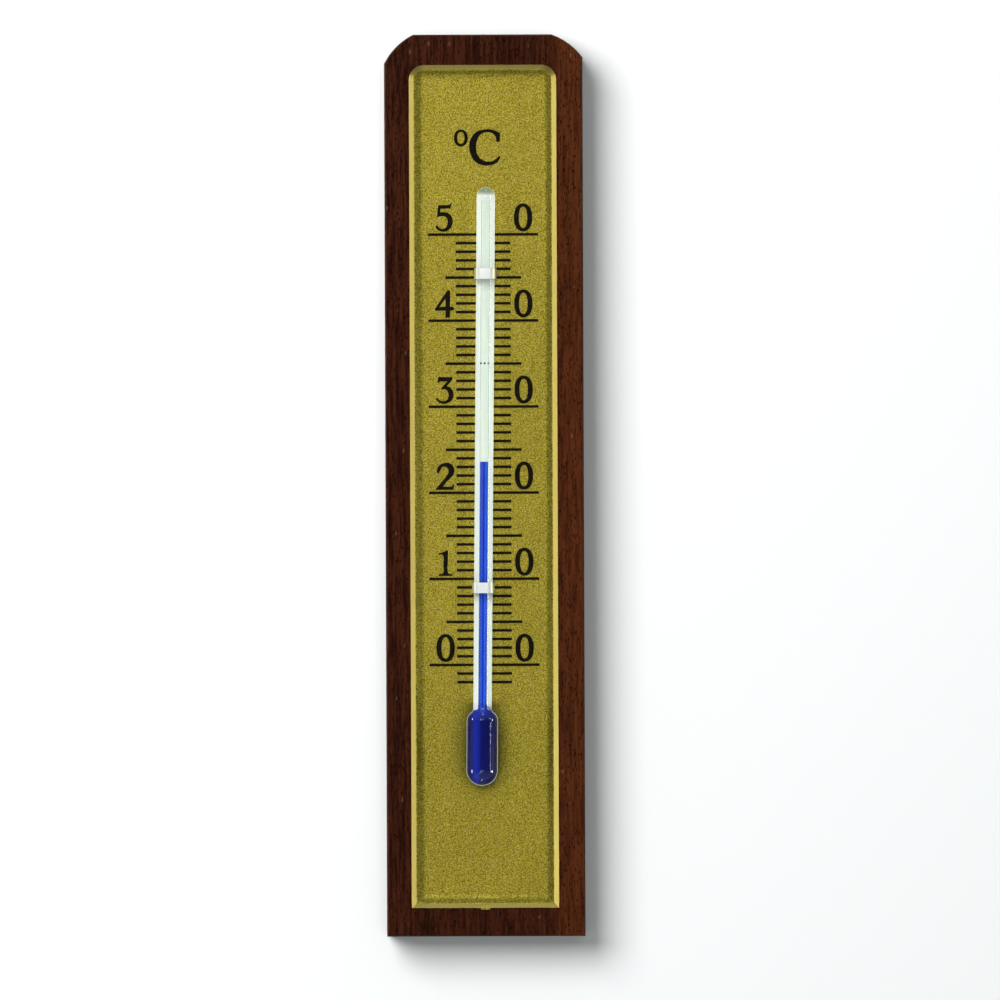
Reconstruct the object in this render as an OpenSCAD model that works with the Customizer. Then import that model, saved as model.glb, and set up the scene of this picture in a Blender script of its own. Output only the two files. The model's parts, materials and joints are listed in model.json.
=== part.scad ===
// Indoor thermometer for a wall: a wooden backboard, a pressed metal scale plate,
// and a glass capillary with dyed spirit, strapped to the plate by two clips.
// Millimetres. +Z is up, the scale faces -Y, and the wall is the plane y = 0.
// The origin is the centre of the mouth of the hanging hole, in the back face.

/* [Backboard] */
// Width of the board
board_w = 39.6; // [38:0.2:60]
// Height of the board
board_h = 180; // [176:1:240]
// Thickness of the board
board_t = 10; // [8.5:0.5:20]
// Radius of the arc that clips each top corner
corner_r = 13; // [10:0.5:30]
// How far the left arc reaches in along the top edge
left_corner_run = 5.8; // [3:0.1:8]
// How far the left arc reaches down the side
left_corner_drop = 5.8; // [3:0.1:8]
// How far the right arc reaches in along the top edge
right_corner_run = 6.2; // [3:0.1:8]
// How far the right arc reaches down the side
right_corner_drop = 4.6; // [3:0.1:8]
// Rounding of the edges round the front and back faces
arris_r = 0.5; // [0.2:0.1:1.5]

/* [Hanging hole] */
// Diameter of the blind hole that goes over a nail or screw head
hang_hole_d = 7; // [4:0.5:10]
// Depth of the blind hole
hang_hole_depth = 6.5; // [4:0.5:7]
// Height of the board's top edge above the centre of the hole
hang_hole_drop = 16; // [10:1:30]

/* [Scale plate] */
// Width of the plate
plate_w = 29.4; // [28:0.1:36]
// Height of the plate
plate_h = 168.2; // [160:0.1:172]
// Height of the plate's bottom edge above the board's bottom edge
plate_foot = 5.7; // [4:0.1:10]
// Sideways place of the plate on the board
plate_shift = -0.15; // [-0.6:0.05:0.6]
// Thickness of the sheet
sheet_t = 0.4; // [0.3:0.05:0.5]
// Outer radius of the top corners, which is also the width of the pressed rim
plate_corner_r = 3; // [2.9:0.1:5]
// Width of the bevel on the outside of the rim
bevel_w = 1; // [0.8:0.1:1.2]
// Height of the square land at the foot of the bevel
foot_land = 0.25; // [0.15:0.05:0.35]
// Height of the rim's crest above the field
rim_rise = 0.45; // [0.3:0.05:0.5]
// Rounding of the crest
crest_r = 0.2; // [0.1:0.05:0.3]
// Slope of the rim down to the field, in degrees
rim_slope = 20; // [18:1:30]
// Radius that blends the slope into the field
blend_r = 3; // [2:0.1:4]
// Width of the shear nib left at the middle of the bottom edge
nib_w = 1.8; // [1:0.1:3]
// How far the shear nib sticks out
nib_reach = 0.35; // [0.2:0.05:0.6]

/* [Adhesive pads] */
// Thickness of the pads between plate and board
pad_t = 0.5; // [0.45:0.05:0.8]
// Width of a pad
pad_w = 18; // [10:1:20]
// Distance from the ends of a pad to the clips or to the plate's rim
pad_end_gap = 8; // [4:0.5:10]

/* [Printed scale] */
// Height of the zero line above the plate's bottom edge
zero_rise = 48.5; // [44:0.1:56]
// Distance from one degree to the next
degree_pitch = 1.717; // [1.5:0.005:1.75]
// Lowest temperature printed
scale_low = -2; // [-3:1:0]
// Highest temperature printed
scale_high = 50; // [40:5:50]
// Thickness of a printed line, up the scale
line_t = 0.32; // [0.2:0.02:0.6]
// Length of the line of each degree
degree_line = 10.7; // [8:0.1:13]
// Length of the line of every fifth degree
five_line = 14.9; // [13:0.1:18]
// Length of the line of every tenth degree
ten_line = 21.7; // [18:0.1:22]
// Thickness of the ink
ink_t = 0.03; // [0.02:0.01:0.05]

/* [Glass tube] */
// Diameter of the stem
stem_d = 3.66; // [3.4:0.02:4.2]
// Diameter of the bulb
bulb_d = 6.22; // [5.4:0.02:7]
// Height of the top of the stem above the zero line
stem_rise = 95.2; // [94:0.1:100]
// Depth of the bottom of the bulb below the zero line
bulb_drop = 24; // [22:0.1:30]
// Depth of the bulb's shoulder below the zero line
shoulder_drop = 11.1; // [10.5:0.1:12.5]
// Radius of the bulb's shoulder
shoulder_r = 2; // [1.6:0.1:2.2]
// Radius that blends the shoulder into the stem
neck_r = 1; // [0.6:0.1:1.4]
// Thickness of the bulb's wall
bulb_wall = 0.3; // [0.2:0.02:0.5]
// Width of the flat capillary bore
bore_w = 1.12; // [0.9:0.02:1.3]
// Depth of the flat capillary bore, front to back
bore_t = 0.22; // [0.18:0.02:0.3]
// How far the bore lies behind the stem's axis
bore_back = 0.2; // [0.1:0.02:0.3]
// Glass between the end of the bore and the top of the stem
tip_seal = 2.6; // [2:0.1:5]
// How far the enamel stripe's face lies behind the stem's axis
enamel_back = 0.9; // [0.6:0.05:1.2]
// Sideways place of the tube at the zero line
tube_shift = -0.36; // [-0.5:0.02:0.5]
// Lean of the tube to the right of the print, in degrees
tube_lean = 0.58; // [-0.6:0.02:0.6]
// Clearance where glass, enamel, ink and plate seat on each other
seat_gap = 0.02; // [0.01:0.01:0.04]

/* [Spirit] */
// Temperature shown at rest
reading = 23.6; // [5:0.1:45]
// Length of the moving head of the spirit thread
head_len = 2.6; // [1.5:0.1:3]
// Running clearance of the spirit head in the bore
head_gap = 0.02; // [0.01:0.01:0.04]
// Clearance between the spirit and the glass round it
wetting_gap = 0.02; // [0.01:0.01:0.04]

/* [Setting mark] */
// Temperature at which the stem is marked for setting it to the print
mark_temp = 35; // [30:1:40]
// Number of dots in the mark
mark_dots = 3; // [1:1:5]
// Angle from one dot to the next round the stem
mark_step = 24; // [15:1:30]
// Angle that one dot covers
mark_span = 11; // [6:1:14]
// Height of a dot
mark_h = 0.36; // [0.2:0.02:0.6]

/* [Clips] */
// Height of the upper clip above the zero line
upper_clip_rise = 78; // [70:0.5:84]
// Height of the lower clip above the zero line
lower_clip_rise = 15.4; // [10:0.1:30]
// Width of the strap, along the tube
strap_w = 2.1; // [1.5:0.1:3]
// Thickness of the strap
strap_t = 0.35; // [0.25:0.05:0.4]
// Inner radius of the strap's two bends over the tube
strap_bend_r = 1; // [0.6:0.1:1.3]
// Clearance between strap and stem
strap_gap = 0.03; // [0.02:0.01:0.06]
// Length of the straight foot that is turned out behind the plate
foot_len = 1.5; // [1:0.1:2.5]
// Inner radius of the bend at the foot
foot_bend_r = 0.1; // [0.06:0.02:0.14]
// Clearance of the strap's legs in their slots
slot_gap = 0.08; // [0.05:0.01:0.15]

/* [Hidden] */
$fn = 64;
broad_fn = 180;
beyond = 1;
// How far the strips of the pressed rim run into the flat field
field_lap = 0.5;

// Colours
walnut = [0.2, 0.1, 0.07];
gold = [0.63, 0.57, 0.2];
ink = [0.05, 0.04, 0.03];
foam = [0.85, 0.83, 0.75];
clear_glass = [0.8, 0.9, 0.85, 0.35];
white_enamel = [0.93, 0.97, 0.93];
blue_spirit = [0.1, 0.16, 0.7];
bright_metal = [0.85, 0.87, 0.85];

// Heights, measured up from the hanging hole
board_top = hang_hole_drop;
board_bottom = board_top - board_h;
plate_bottom = board_bottom + plate_foot;
zero_z = plate_bottom + zero_rise;

// Depths, measured out from the wall
sheet_back = board_t + pad_t;
field_front = sheet_back + sheet_t;

// Height above the board that no part of the plate reaches
rim_top = pad_t + sheet_t + rim_rise + beyond;

// The tube lies on the plate. Its bulb touches at the shoulder and its stem at the top,
// so its axis tips towards the plate by the difference of their radii.
stem_r = stem_d / 2;
bulb_r = bulb_d / 2;
tip_z = stem_rise - stem_r;
tube_pitch = atan((bulb_r - stem_r) / (tip_z + shoulder_drop));
zero_axis_height = bulb_r / cos(tube_pitch) - shoulder_drop * tan(tube_pitch) + seat_gap;

// How far the neck of the funnel that leads from bulb to bore reaches past the bore
funnel_margin = 0.05;
// How much softer the funnel narrows inside than the glass does outside
funnel_softness = 0.5;
// How far the bore runs down into the bulb's shoulder
bore_overrun = 0.3;
// Height of the enamel's foot above the point where the stem is at its full width
enamel_margin = 0.3;

// What lies inside the glass, along the tube from the zero line
funnel_r = bore_back + bore_t / 2 + funnel_margin;
funnel_blend_r = neck_r + funnel_softness;
inner_shoulder_r = shoulder_r - bulb_wall;
bore_foot = inner_shoulder_r - shoulder_drop - bore_overrun;
bore_top = stem_rise - tip_seal;
reservoir_top = neck_height(funnel_r, bulb_wall, funnel_blend_r) - shoulder_drop;
enamel_foot = neck_height(stem_r, 0, neck_r) - shoulder_drop + enamel_margin;
head_top = reading * degree_pitch;
head_foot = head_top - head_len;

// Clips
strap_half = stem_r + strap_gap;
leg_half = strap_half + strap_t;

// Height above the shoulder's centre at which a fillet leaves the neck of a vessel
// that lies a wall's thickness inside the bulb
function neck_height(neck, wall, fillet) =
  sqrt(pow(shoulder_r - wall + fillet, 2) - pow(neck + fillet - bulb_r + shoulder_r, 2));

// Place of the tube's axis at a height above the zero line: sideways, and out from the field
function tube_x(rise) = plate_shift + tube_shift + rise * tan(tube_lean);
function tube_height(rise) = zero_axis_height - rise * tan(tube_pitch);

// Stands a flat drawing up as a slab that faces the viewer, its back at a depth from the wall
module facing(depth, thickness) {
  translate([0, -depth, 0])
    rotate([90, 0, 0])
      linear_extrude(thickness)
        children();
}

// Centre of the arc that clips a corner, for a corner at the origin with the board
// to its right and below
function arc_centre(run, drop) =
  let (chord = norm([run, drop]))
  let (reach = sqrt(pow(corner_r, 2) - pow(chord / 2, 2)))
  [run / 2 + reach * drop / chord, -drop / 2 - reach * run / chord];

// What the arc takes off that corner
module corner_waste(run, drop) {
  difference() {
    translate([-beyond, -drop])
      square([run + beyond, drop + beyond]);
    translate(arc_centre(run, drop))
      circle(corner_r, $fn = broad_fn);
  }
}

module board_outline() {
  difference() {
    translate([-board_w / 2, board_bottom])
      square([board_w, board_h]);
    translate([-board_w / 2, board_top])
      corner_waste(left_corner_run, left_corner_drop);
    translate([board_w / 2, board_top])
      mirror([1, 0])
        corner_waste(right_corner_run, right_corner_drop);
  }
}

// Section of what the rounding takes off an edge at the origin of a solid to the left and below
module arris_section() {
  difference() {
    translate([-arris_r, -arris_r])
      square(arris_r + beyond);
    translate([-arris_r, -arris_r])
      circle(arris_r);
  }
}

// Rounding of the edge of a clipped corner at the origin, the face being z = 0
module arc_rounding(run, drop) {
  centre = arc_centre(run, drop);
  start = atan2(-centre[1], run - centre[0]);
  finish = atan2(-drop - centre[1], -centre[0]);
  spare = 3;
  translate(centre)
    rotate([0, 0, start - spare])
      rotate_extrude(angle = finish - start + 2 * spare, $fn = broad_fn)
        translate([corner_r, 0])
          arris_section();
}

// Rounding of all the edges of one face: the board's drawing lies in z = 0, the solid below it
module face_rounding() {
  for (side = [[0, board_w, board_h], [90, board_h, board_w], [180, board_w, board_h], [270, board_h, board_w]])
    translate([0, board_top - board_h / 2, 0])
      rotate([0, 0, side[0]])
        translate([side[1] / 2, side[2] / 2 + beyond, 0])
          rotate([90, 0, 0])
            linear_extrude(side[2] + 2 * beyond)
              arris_section();
  translate([-board_w / 2, board_top, 0])
    arc_rounding(left_corner_run, left_corner_drop);
  translate([board_w / 2, board_top, 0])
    mirror([1, 0, 0])
      arc_rounding(right_corner_run, right_corner_drop);
}

module backboard() {
  color(walnut)
    difference() {
      facing(0, board_t)
        board_outline();
      translate([0, -board_t, 0])
        rotate([90, 0, 0])
          face_rounding();
      mirror([0, 1, 0])
        rotate([90, 0, 0])
          face_rounding();
      translate([0, beyond, 0])
        rotate([90, 0, 0])
          cylinder(h = hang_hole_depth + beyond, d = hang_hole_d);
    }
}

// One pad in each stretch of the plate that the clips and the rim leave free
module adhesive_pads() {
  lower = zero_rise + lower_clip_rise;
  upper = zero_rise + upper_clip_rise;
  color(foam)
    for (stretch = [[plate_corner_r, lower], [lower, upper], [upper, plate_h - plate_corner_r]])
      facing(board_t, pad_t)
        translate([plate_shift - pad_w / 2, plate_bottom + stretch[0] + pad_end_gap])
          square([pad_w, stretch[1] - stretch[0] - 2 * pad_end_gap]);
}

// Section of the pressed rim: x runs in from the plate's edge, y out from the board
module rim_section() {
  field = pad_t + sheet_t;
  crest = [bevel_w, field + rim_rise];
  bevel = atan2(crest[1] - foot_land, bevel_w);
  off_bevel = [-sin(bevel), cos(bevel)];
  off_slope = [sin(rim_slope), cos(rim_slope)];
  into_crest = -(off_bevel + off_slope) / (1 + cos(bevel + rim_slope));
  crest_centre = crest + crest_r * into_crest;
  slope_w = (rim_rise - blend_r * (1 - cos(rim_slope))) / tan(rim_slope);
  blend_end = bevel_w + slope_w + blend_r * sin(rim_slope);
  blend_centre = [blend_end, field + blend_r];
  under_foot = sheet_t / sin(bevel) - foot_land / tan(bevel);
  inner_end = plate_corner_r + field_lap;
  difference() {
    union() {
      polygon([
        [0, 0], [0, foot_land],
        crest_centre + crest_r * off_bevel,
        crest_centre + crest_r * off_slope,
        blend_centre - blend_r * off_slope,
        [blend_end, field], [inner_end, field], [inner_end, 0]
      ]);
      translate(crest_centre)
        circle(crest_r);
    }
    translate(blend_centre)
      circle(blend_r, $fn = broad_fn);
    difference() {
      polygon([
        [under_foot, 0],
        crest + sheet_t * into_crest,
        blend_centre - (blend_r + sheet_t) * off_slope,
        [blend_end, pad_t], [inner_end + beyond, pad_t],
        [inner_end + beyond, -beyond], [under_foot, -beyond]
      ]);
      translate(blend_centre)
        circle(blend_r + sheet_t, $fn = broad_fn);
    }
  }
}

// A straight stretch of rim along y, from y = 0 up, its outside facing -x
module rim_leg(length) {
  translate([0, length, 0])
    rotate([90, 0, 0])
      linear_extrude(length)
        rim_section();
}

// A quarter turn of rim round the origin, from +x to +y
module rim_corner() {
  rotate_extrude(angle = 90)
    intersection() {
      translate([plate_corner_r, 0])
        mirror([1, 0])
          rim_section();
      square([plate_corner_r, rim_top]);
    }
}

// Keeps what lies inside a plan, for cutting the mitres
module within(plan) {
  intersection() {
    children();
    translate([0, 0, -beyond])
      linear_extrude(rim_top + beyond)
        polygon(plan);
  }
}

// The plate lying flat, its bottom edge on y = 0 and its middle on x = 0. Each half has
// its own strips of rim, and those along the top and bottom run past the middle.
module flat_plate() {
  r = plate_corner_r;
  half = plate_w / 2;
  mitre = r + field_lap;
  for (side = [0, 1])
    mirror([side, 0, 0]) {
      translate([-half, 0, 0])
        within([[-beyond, -beyond], [mitre, mitre], [mitre, plate_h], [-beyond, plate_h]])
          rim_leg(plate_h - r);
      translate([half - r, plate_h - r, 0])
        rim_corner();
      translate([r - half, plate_h, 0])
        rotate([0, 0, -90])
          rim_leg(half - r + beyond);
      within([[half + beyond, -beyond], [half - mitre, mitre], [-beyond, mitre], [-beyond, -beyond]])
        translate([half, 0, 0])
          rotate([0, 0, 90])
            rim_leg(half + beyond);
    }
  translate([r - half, r, pad_t])
    cube([plate_w - 2 * r, plate_h - 2 * r, sheet_t]);
  translate([-nib_w / 2, -nib_reach, 0])
    cube([nib_w, nib_reach + foot_land / 2, foot_land]);
}

// The pair of slots that a clip's legs go through
module clip_slots(rise) {
  inner = strap_half - slot_gap;
  outer = leg_half + slot_gap;
  high = strap_w + 2 * slot_gap;
  facing(sheet_back - beyond, sheet_t + 2 * beyond)
    translate([tube_x(rise), zero_z + rise - high / 2])
      for (side = [0, 1])
        mirror([side, 0])
          translate([inner, 0])
            square([outer - inner, high]);
}

module scale_plate() {
  color(gold)
    difference() {
      translate([plate_shift, -board_t, plate_bottom])
        rotate([90, 0, 0])
          flat_plate();
      clip_slots(upper_clip_rise);
      clip_slots(lower_clip_rise);
    }
}

module graduation_lines() {
  color(ink)
    facing(field_front, ink_t)
      for (degree = [scale_low : scale_high]) {
        length = degree % 10 == 0 ? ten_line : degree % 5 == 0 ? five_line : degree_line;
        translate([plate_shift, zero_z + degree * degree_pitch])
          square([length, line_t], center = true);
      }
}

// Places what is built along +Z on the tube's axis, with its z = 0 at the zero line
module on_tube() {
  translate([tube_x(0), -(field_front + tube_height(0)), zero_z])
    rotate([-tube_pitch, tube_lean, 0])
      children();
}

// Half section of a vessel that lies a wall's thickness inside the bulb, with a neck
// that rises out of its round shoulder through a fillet
module vessel_section(neck, wall, fillet, top) {
  body = bulb_r - wall;
  shoulder = shoulder_r - wall;
  foot = bulb_r - bulb_drop;
  shoulder_centre = [body - shoulder, -shoulder_drop];
  fillet_centre = [neck + fillet, neck_height(neck, wall, fillet) - shoulder_drop];
  touch = (shoulder_centre * fillet + fillet_centre * shoulder) / (shoulder + fillet);
  intersection() {
    union() {
      translate([0, foot])
        circle(body);
      translate([0, foot])
        square([body, -shoulder_drop - foot]);
      translate([0, -shoulder_drop])
        square([body - shoulder, shoulder]);
      translate(shoulder_centre)
        circle(shoulder);
      translate([0, -shoulder_drop])
        square([neck, top + shoulder_drop]);
      difference() {
        polygon([[0, fillet_centre[1]], fillet_centre, touch, shoulder_centre, [0, -shoulder_drop]]);
        translate(fillet_centre)
          circle(fillet);
      }
    }
    translate([0, -bulb_drop - beyond])
      square([bulb_d, bulb_drop + stem_rise + 2 * beyond]);
  }
}

// A length of the flat bore, or of what fills it with a clearance all round
module bore_length(low, high, clearance) {
  thick = bore_t - 2 * clearance;
  centres = bore_w - bore_t;
  translate([0, bore_back, low])
    linear_extrude(high - low) {
      square([centres, thick], center = true);
      for (side = [-1, 1])
        translate([side * centres / 2, 0])
          circle(d = thick, $fn = 24);
    }
}

module glass_tube() {
  color(clear_glass)
    on_tube()
      difference() {
        union() {
          rotate_extrude()
            vessel_section(stem_r, 0, neck_r, tip_z);
          translate([0, 0, tip_z])
            sphere(stem_r);
        }
        rotate_extrude()
          vessel_section(funnel_r, bulb_wall, funnel_blend_r, reservoir_top);
        bore_length(bore_foot, bore_top, 0);
        translate([-stem_d, enamel_back - seat_gap, enamel_foot - seat_gap])
          cube([2 * stem_d, stem_d, tip_z - enamel_foot + 2 * seat_gap]);
      }
}

// The white stripe fused into the back of the stem
module enamel_stripe() {
  color(white_enamel)
    on_tube()
      intersection() {
        translate([0, 0, enamel_foot])
          cylinder(h = tip_z - enamel_foot, r = stem_r);
        translate([-stem_d, enamel_back, enamel_foot - beyond])
          cube([2 * stem_d, stem_d, tip_z - enamel_foot + 2 * beyond]);
      }
}

// The spirit in the bulb, up to where the bore alone goes on
module spirit_reservoir() {
  color(blue_spirit)
    on_tube() {
      rotate_extrude()
        vessel_section(funnel_r - wetting_gap, bulb_wall + wetting_gap, funnel_blend_r + wetting_gap, reservoir_top);
      bore_length(bore_foot + wetting_gap, reservoir_top, wetting_gap);
    }
}

module spirit_column() {
  color(blue_spirit)
    on_tube()
      bore_length(reservoir_top + seat_gap, head_foot - seat_gap, wetting_gap);
}

module spirit_head() {
  color(blue_spirit)
    on_tube()
      bore_length(head_foot, head_top, head_gap);
}

// Dots of ink across the front of the stem
module setting_mark() {
  color(ink)
    on_tube()
      for (i = [0 : mark_dots - 1])
        rotate([0, 0, -90 - mark_span / 2 + (i - (mark_dots - 1) / 2) * mark_step])
          rotate_extrude(angle = mark_span)
            translate([stem_r + seat_gap, mark_temp * degree_pitch - mark_h / 2])
              square([ink_t, mark_h]);
}

// Section of a quarter bend of the strap, in the first quadrant
module strap_bend(inner) {
  intersection() {
    difference() {
      circle(inner + strap_t);
      circle(inner);
    }
    square(inner + strap_t + beyond);
  }
}

// Section of a strap: x across the tube, y out from the field
module strap_section(arch) {
  foot_top = -sheet_t - seat_gap;
  bend_x = leg_half + foot_bend_r;
  bend_y = foot_top + foot_bend_r;
  for (side = [0, 1])
    mirror([side, 0]) {
      translate([0, arch])
        square([strap_half - strap_bend_r, strap_t]);
      translate([strap_half - strap_bend_r, arch - strap_bend_r])
        strap_bend(strap_bend_r);
      translate([strap_half, bend_y])
        square([strap_t, arch - strap_bend_r - bend_y]);
      translate([bend_x, bend_y])
        rotate(180)
          strap_bend(foot_bend_r);
      translate([bend_x, foot_top - strap_t])
        square([foot_len, strap_t]);
    }
}

// A strap over the tube, its legs through the plate and its feet turned out behind it
module clip(rise) {
  arch = tube_height(rise) + stem_r / cos(tube_pitch) + strap_gap;
  color(bright_metal)
    translate([tube_x(rise), -field_front, zero_z + rise + strap_w / 2])
      rotate([180, 0, 0])
        linear_extrude(strap_w)
          strap_section(arch);
}

module upper_clip() {
  clip(upper_clip_rise);
}

module lower_clip() {
  clip(lower_clip_rise);
}

backboard();
adhesive_pads();
scale_plate();
graduation_lines();
glass_tube();
enamel_stripe();
spirit_reservoir();
spirit_column();
spirit_head();
setting_mark();
upper_clip();
lower_clip();
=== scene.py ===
"""Dresses the packed wall thermometer: a finish for each piece, the printed figures, a thread of spirit in the bore,
and a plain wall and floor to show it on. Lengths are in metres."""

import json
import math

import bmesh
import bpy
from bpy.props import FloatProperty, FloatVectorProperty, IntProperty, PointerProperty
from mathutils import Matrix, Vector

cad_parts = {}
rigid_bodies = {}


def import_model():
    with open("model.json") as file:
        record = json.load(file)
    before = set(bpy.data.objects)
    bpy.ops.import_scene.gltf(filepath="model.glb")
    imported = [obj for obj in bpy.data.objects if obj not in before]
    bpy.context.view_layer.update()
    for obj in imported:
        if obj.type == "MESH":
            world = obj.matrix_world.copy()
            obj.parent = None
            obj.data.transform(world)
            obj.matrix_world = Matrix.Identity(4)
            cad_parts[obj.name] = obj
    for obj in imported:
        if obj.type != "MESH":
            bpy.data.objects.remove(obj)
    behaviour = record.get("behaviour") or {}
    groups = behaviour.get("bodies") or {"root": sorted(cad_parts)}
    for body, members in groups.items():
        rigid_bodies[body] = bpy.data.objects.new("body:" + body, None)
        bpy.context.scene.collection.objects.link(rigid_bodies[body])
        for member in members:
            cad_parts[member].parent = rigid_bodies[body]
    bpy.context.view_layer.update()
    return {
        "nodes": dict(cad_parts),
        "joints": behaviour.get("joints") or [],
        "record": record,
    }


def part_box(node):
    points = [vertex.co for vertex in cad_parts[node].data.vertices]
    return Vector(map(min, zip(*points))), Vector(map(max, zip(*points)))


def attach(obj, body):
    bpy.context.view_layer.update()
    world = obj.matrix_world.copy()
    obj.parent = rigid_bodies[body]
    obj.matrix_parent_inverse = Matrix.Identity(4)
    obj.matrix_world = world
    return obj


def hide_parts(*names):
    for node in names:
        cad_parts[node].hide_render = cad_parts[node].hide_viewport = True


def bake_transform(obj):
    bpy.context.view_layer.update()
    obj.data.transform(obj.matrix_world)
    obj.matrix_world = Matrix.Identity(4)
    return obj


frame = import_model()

bl_info = {
    "name": "Wall thermometer finish",
    "version": (1, 0, 0),
    "blender": (4, 5, 0),
    "location": "3D View > Sidebar > Thermometer",
    "description": "Finishes the pieces of a wooden wall thermometer and sets it on a plain stage",
    "category": "Object",
}

MM = 0.001
SLOT_COLOUR = {slot["slot"]: tuple(slot["base_color"][:3]) for slot in frame["record"]["materials"]}
SPIRIT_LEVEL = frame["joints"][0]

# Points nearer than this are one point of a seam
SEAM = 0.0005 * MM

# Faces that meet at more than this angle keep a sharp edge
SHARP_EDGE = math.radians(50)

# Marks a point where a figure's outline turns sharply. It is rounded off at the others
SHARP = True


def colour(name, description, default):
    """A colour that the sidebar can change."""
    return FloatVectorProperty(name=name, description=description, subtype="COLOR", min=0, max=1, default=default)


def length(name, description, default):
    """A length in metres that the sidebar can change."""
    return FloatProperty(name=name, description=description, unit="LENGTH", default=default, min=0, precision=5)


def share(name, description, default, high=1.0):
    """A plain ratio or power that the sidebar can change."""
    return FloatProperty(name=name, description=description, default=default, min=0, max=high, precision=3)


class BoardSettings(bpy.types.PropertyGroup):
    """Finish of the wooden board and of the foam tape on it"""

    wood: colour("Wood", "Main colour of the stained wood", (0.0165, 0.0041, 0.0021))
    dark_wood: colour("Dark wood", "Colour of the dark streaks", (0.0100, 0.0027, 0.0014))
    light_wood: colour("Light wood", "Colour of the light streaks", (0.098, 0.0240, 0.0090))
    pore: colour("Pores", "Colour inside the open pores", (0.0030, 0.0012, 0.0008))
    fleck: colour("Flecks", "Colour of the few pale flecks", (0.20, 0.11, 0.07))
    # Painted highlight: the rounded front and back edges are made paler, as if they caught the light
    arris_highlight: colour("Arris", "Paler colour of the rubbed edges", (0.13, 0.075, 0.05))
    # Painted light: the wood is made lighter and redder towards its right edge, as if lit from the right
    flank: colour("Right flank", "Colour that the wood takes on towards its right edge", (0.112, 0.0285, 0.0075))
    flank_start: length("Flank start", "Distance from the middle where the flank's colour starts", 11.0 * MM)
    flank_end: length("Flank end", "Distance from the middle where the flank's colour is full", 17.0 * MM)
    band_width: length("Band width", "Width of a broad band of the grain", 2.4 * MM)
    band_stretch: share("Band stretch", "Length of a band over its width", 26, 200)
    fibre_width: length("Fibre width", "Width of one fibre of the grain", 0.34 * MM)
    fibre_stretch: share("Fibre stretch", "Length of a fibre over its width", 13, 200)
    pore_width: length("Pore width", "Width of one open pore", 0.20 * MM)
    pore_stretch: share("Pore stretch", "Length of a pore over its width", 4, 60)
    pore_depth: length("Pore depth", "Depth of a pore in the bump", 0.03 * MM)
    fleck_width: length("Fleck width", "Width of one fleck", 0.42 * MM)
    roughness: share("Roughness", "Roughness of the satin lacquer", 0.42)
    foam: colour("Foam tape", "Colour of the foam tape", SLOT_COLOUR["foam_tape"])


class PlateSettings(bpy.types.PropertyGroup):
    """Finish of the pressed scale plate and of the clips"""

    gold: colour("Gold", "Colour of the anodised sheet", (0.38, 0.305, 0.031))
    speck: colour("Specks", "Colour of the grains that catch the light", (0.82, 0.71, 0.30))
    grain: length("Grain", "Size of the fine matt grain", 0.20 * MM)
    cloud: length("Clouds", "Size of the faint clouds in the sheet", 7.0 * MM)
    sparkle: share("Sparkle", "Share of the grains that catch the light", 0.28)
    roughness: share("Roughness", "Roughness of the matt sheet", 0.43)
    metal: share("Metal", "How far the sheet shines as metal through its dull film", 0.9)
    # Painted highlight: the bevel is made paler, as the light from the sides makes it
    bevel: colour("Bevel", "Paler colour of the bevel, where the film is rubbed", (0.465, 0.370, 0.100))
    shade: colour(
        "Shade", "Colour that the sheet nears by the bulb and the rim, and on the rim's inner slope",
        (0.035, 0.050, 0.010),
    )
    shade_reach: length("Shade reach", "How far the shade of the rim and the bulb reaches", 5.0 * MM)
    steel: colour("Steel", "Colour of the clips", (0.95, 0.97, 0.95))
    # Painted reflection: the bends take on the colour of the gold plate that they mirror
    bend_gold_reflection: colour("Steel bend", "Colour that the clips' bends take on from the gold", (0.46, 0.46, 0.20))


class PrintSettings(bpy.types.PropertyGroup):
    """Figures and sign that are printed on the plate"""

    ink: colour("Ink", "Colour of the print", SLOT_COLOUR["black_ink"])
    line_width: length("Line", "Thickness of a printed line", 0.32 * MM)
    lowest: IntProperty(name="Lowest", description="Lowest temperature printed", default=-2)
    highest: IntProperty(name="Highest", description="Highest temperature printed", default=50)
    figure_height: length("Figure height", "Height of a tall figure", 5.5 * MM)
    ink_spread: length("Ink spread", "How far the ink ran out beyond the drawn edge", 0.07 * MM)
    line_spread: length("Line spread", "How far the ink of a line ran out beyond its edge", 0.105 * MM)
    figure_rise: length("Figure rise", "Clearance of a figure over its line", 0.50 * MM)
    left_column: length("Left column", "Distance of the tens from the middle of the print", 7.75 * MM)
    right_column: length("Right column", "Distance of the noughts from the middle of the print", 8.0 * MM)
    sign_rise: length("Sign rise", "Height of the degree sign over the highest line", 13.9 * MM)
    sign_shift: length("Sign shift", "Distance of the C from the middle of the print", 0.38 * MM)


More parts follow.
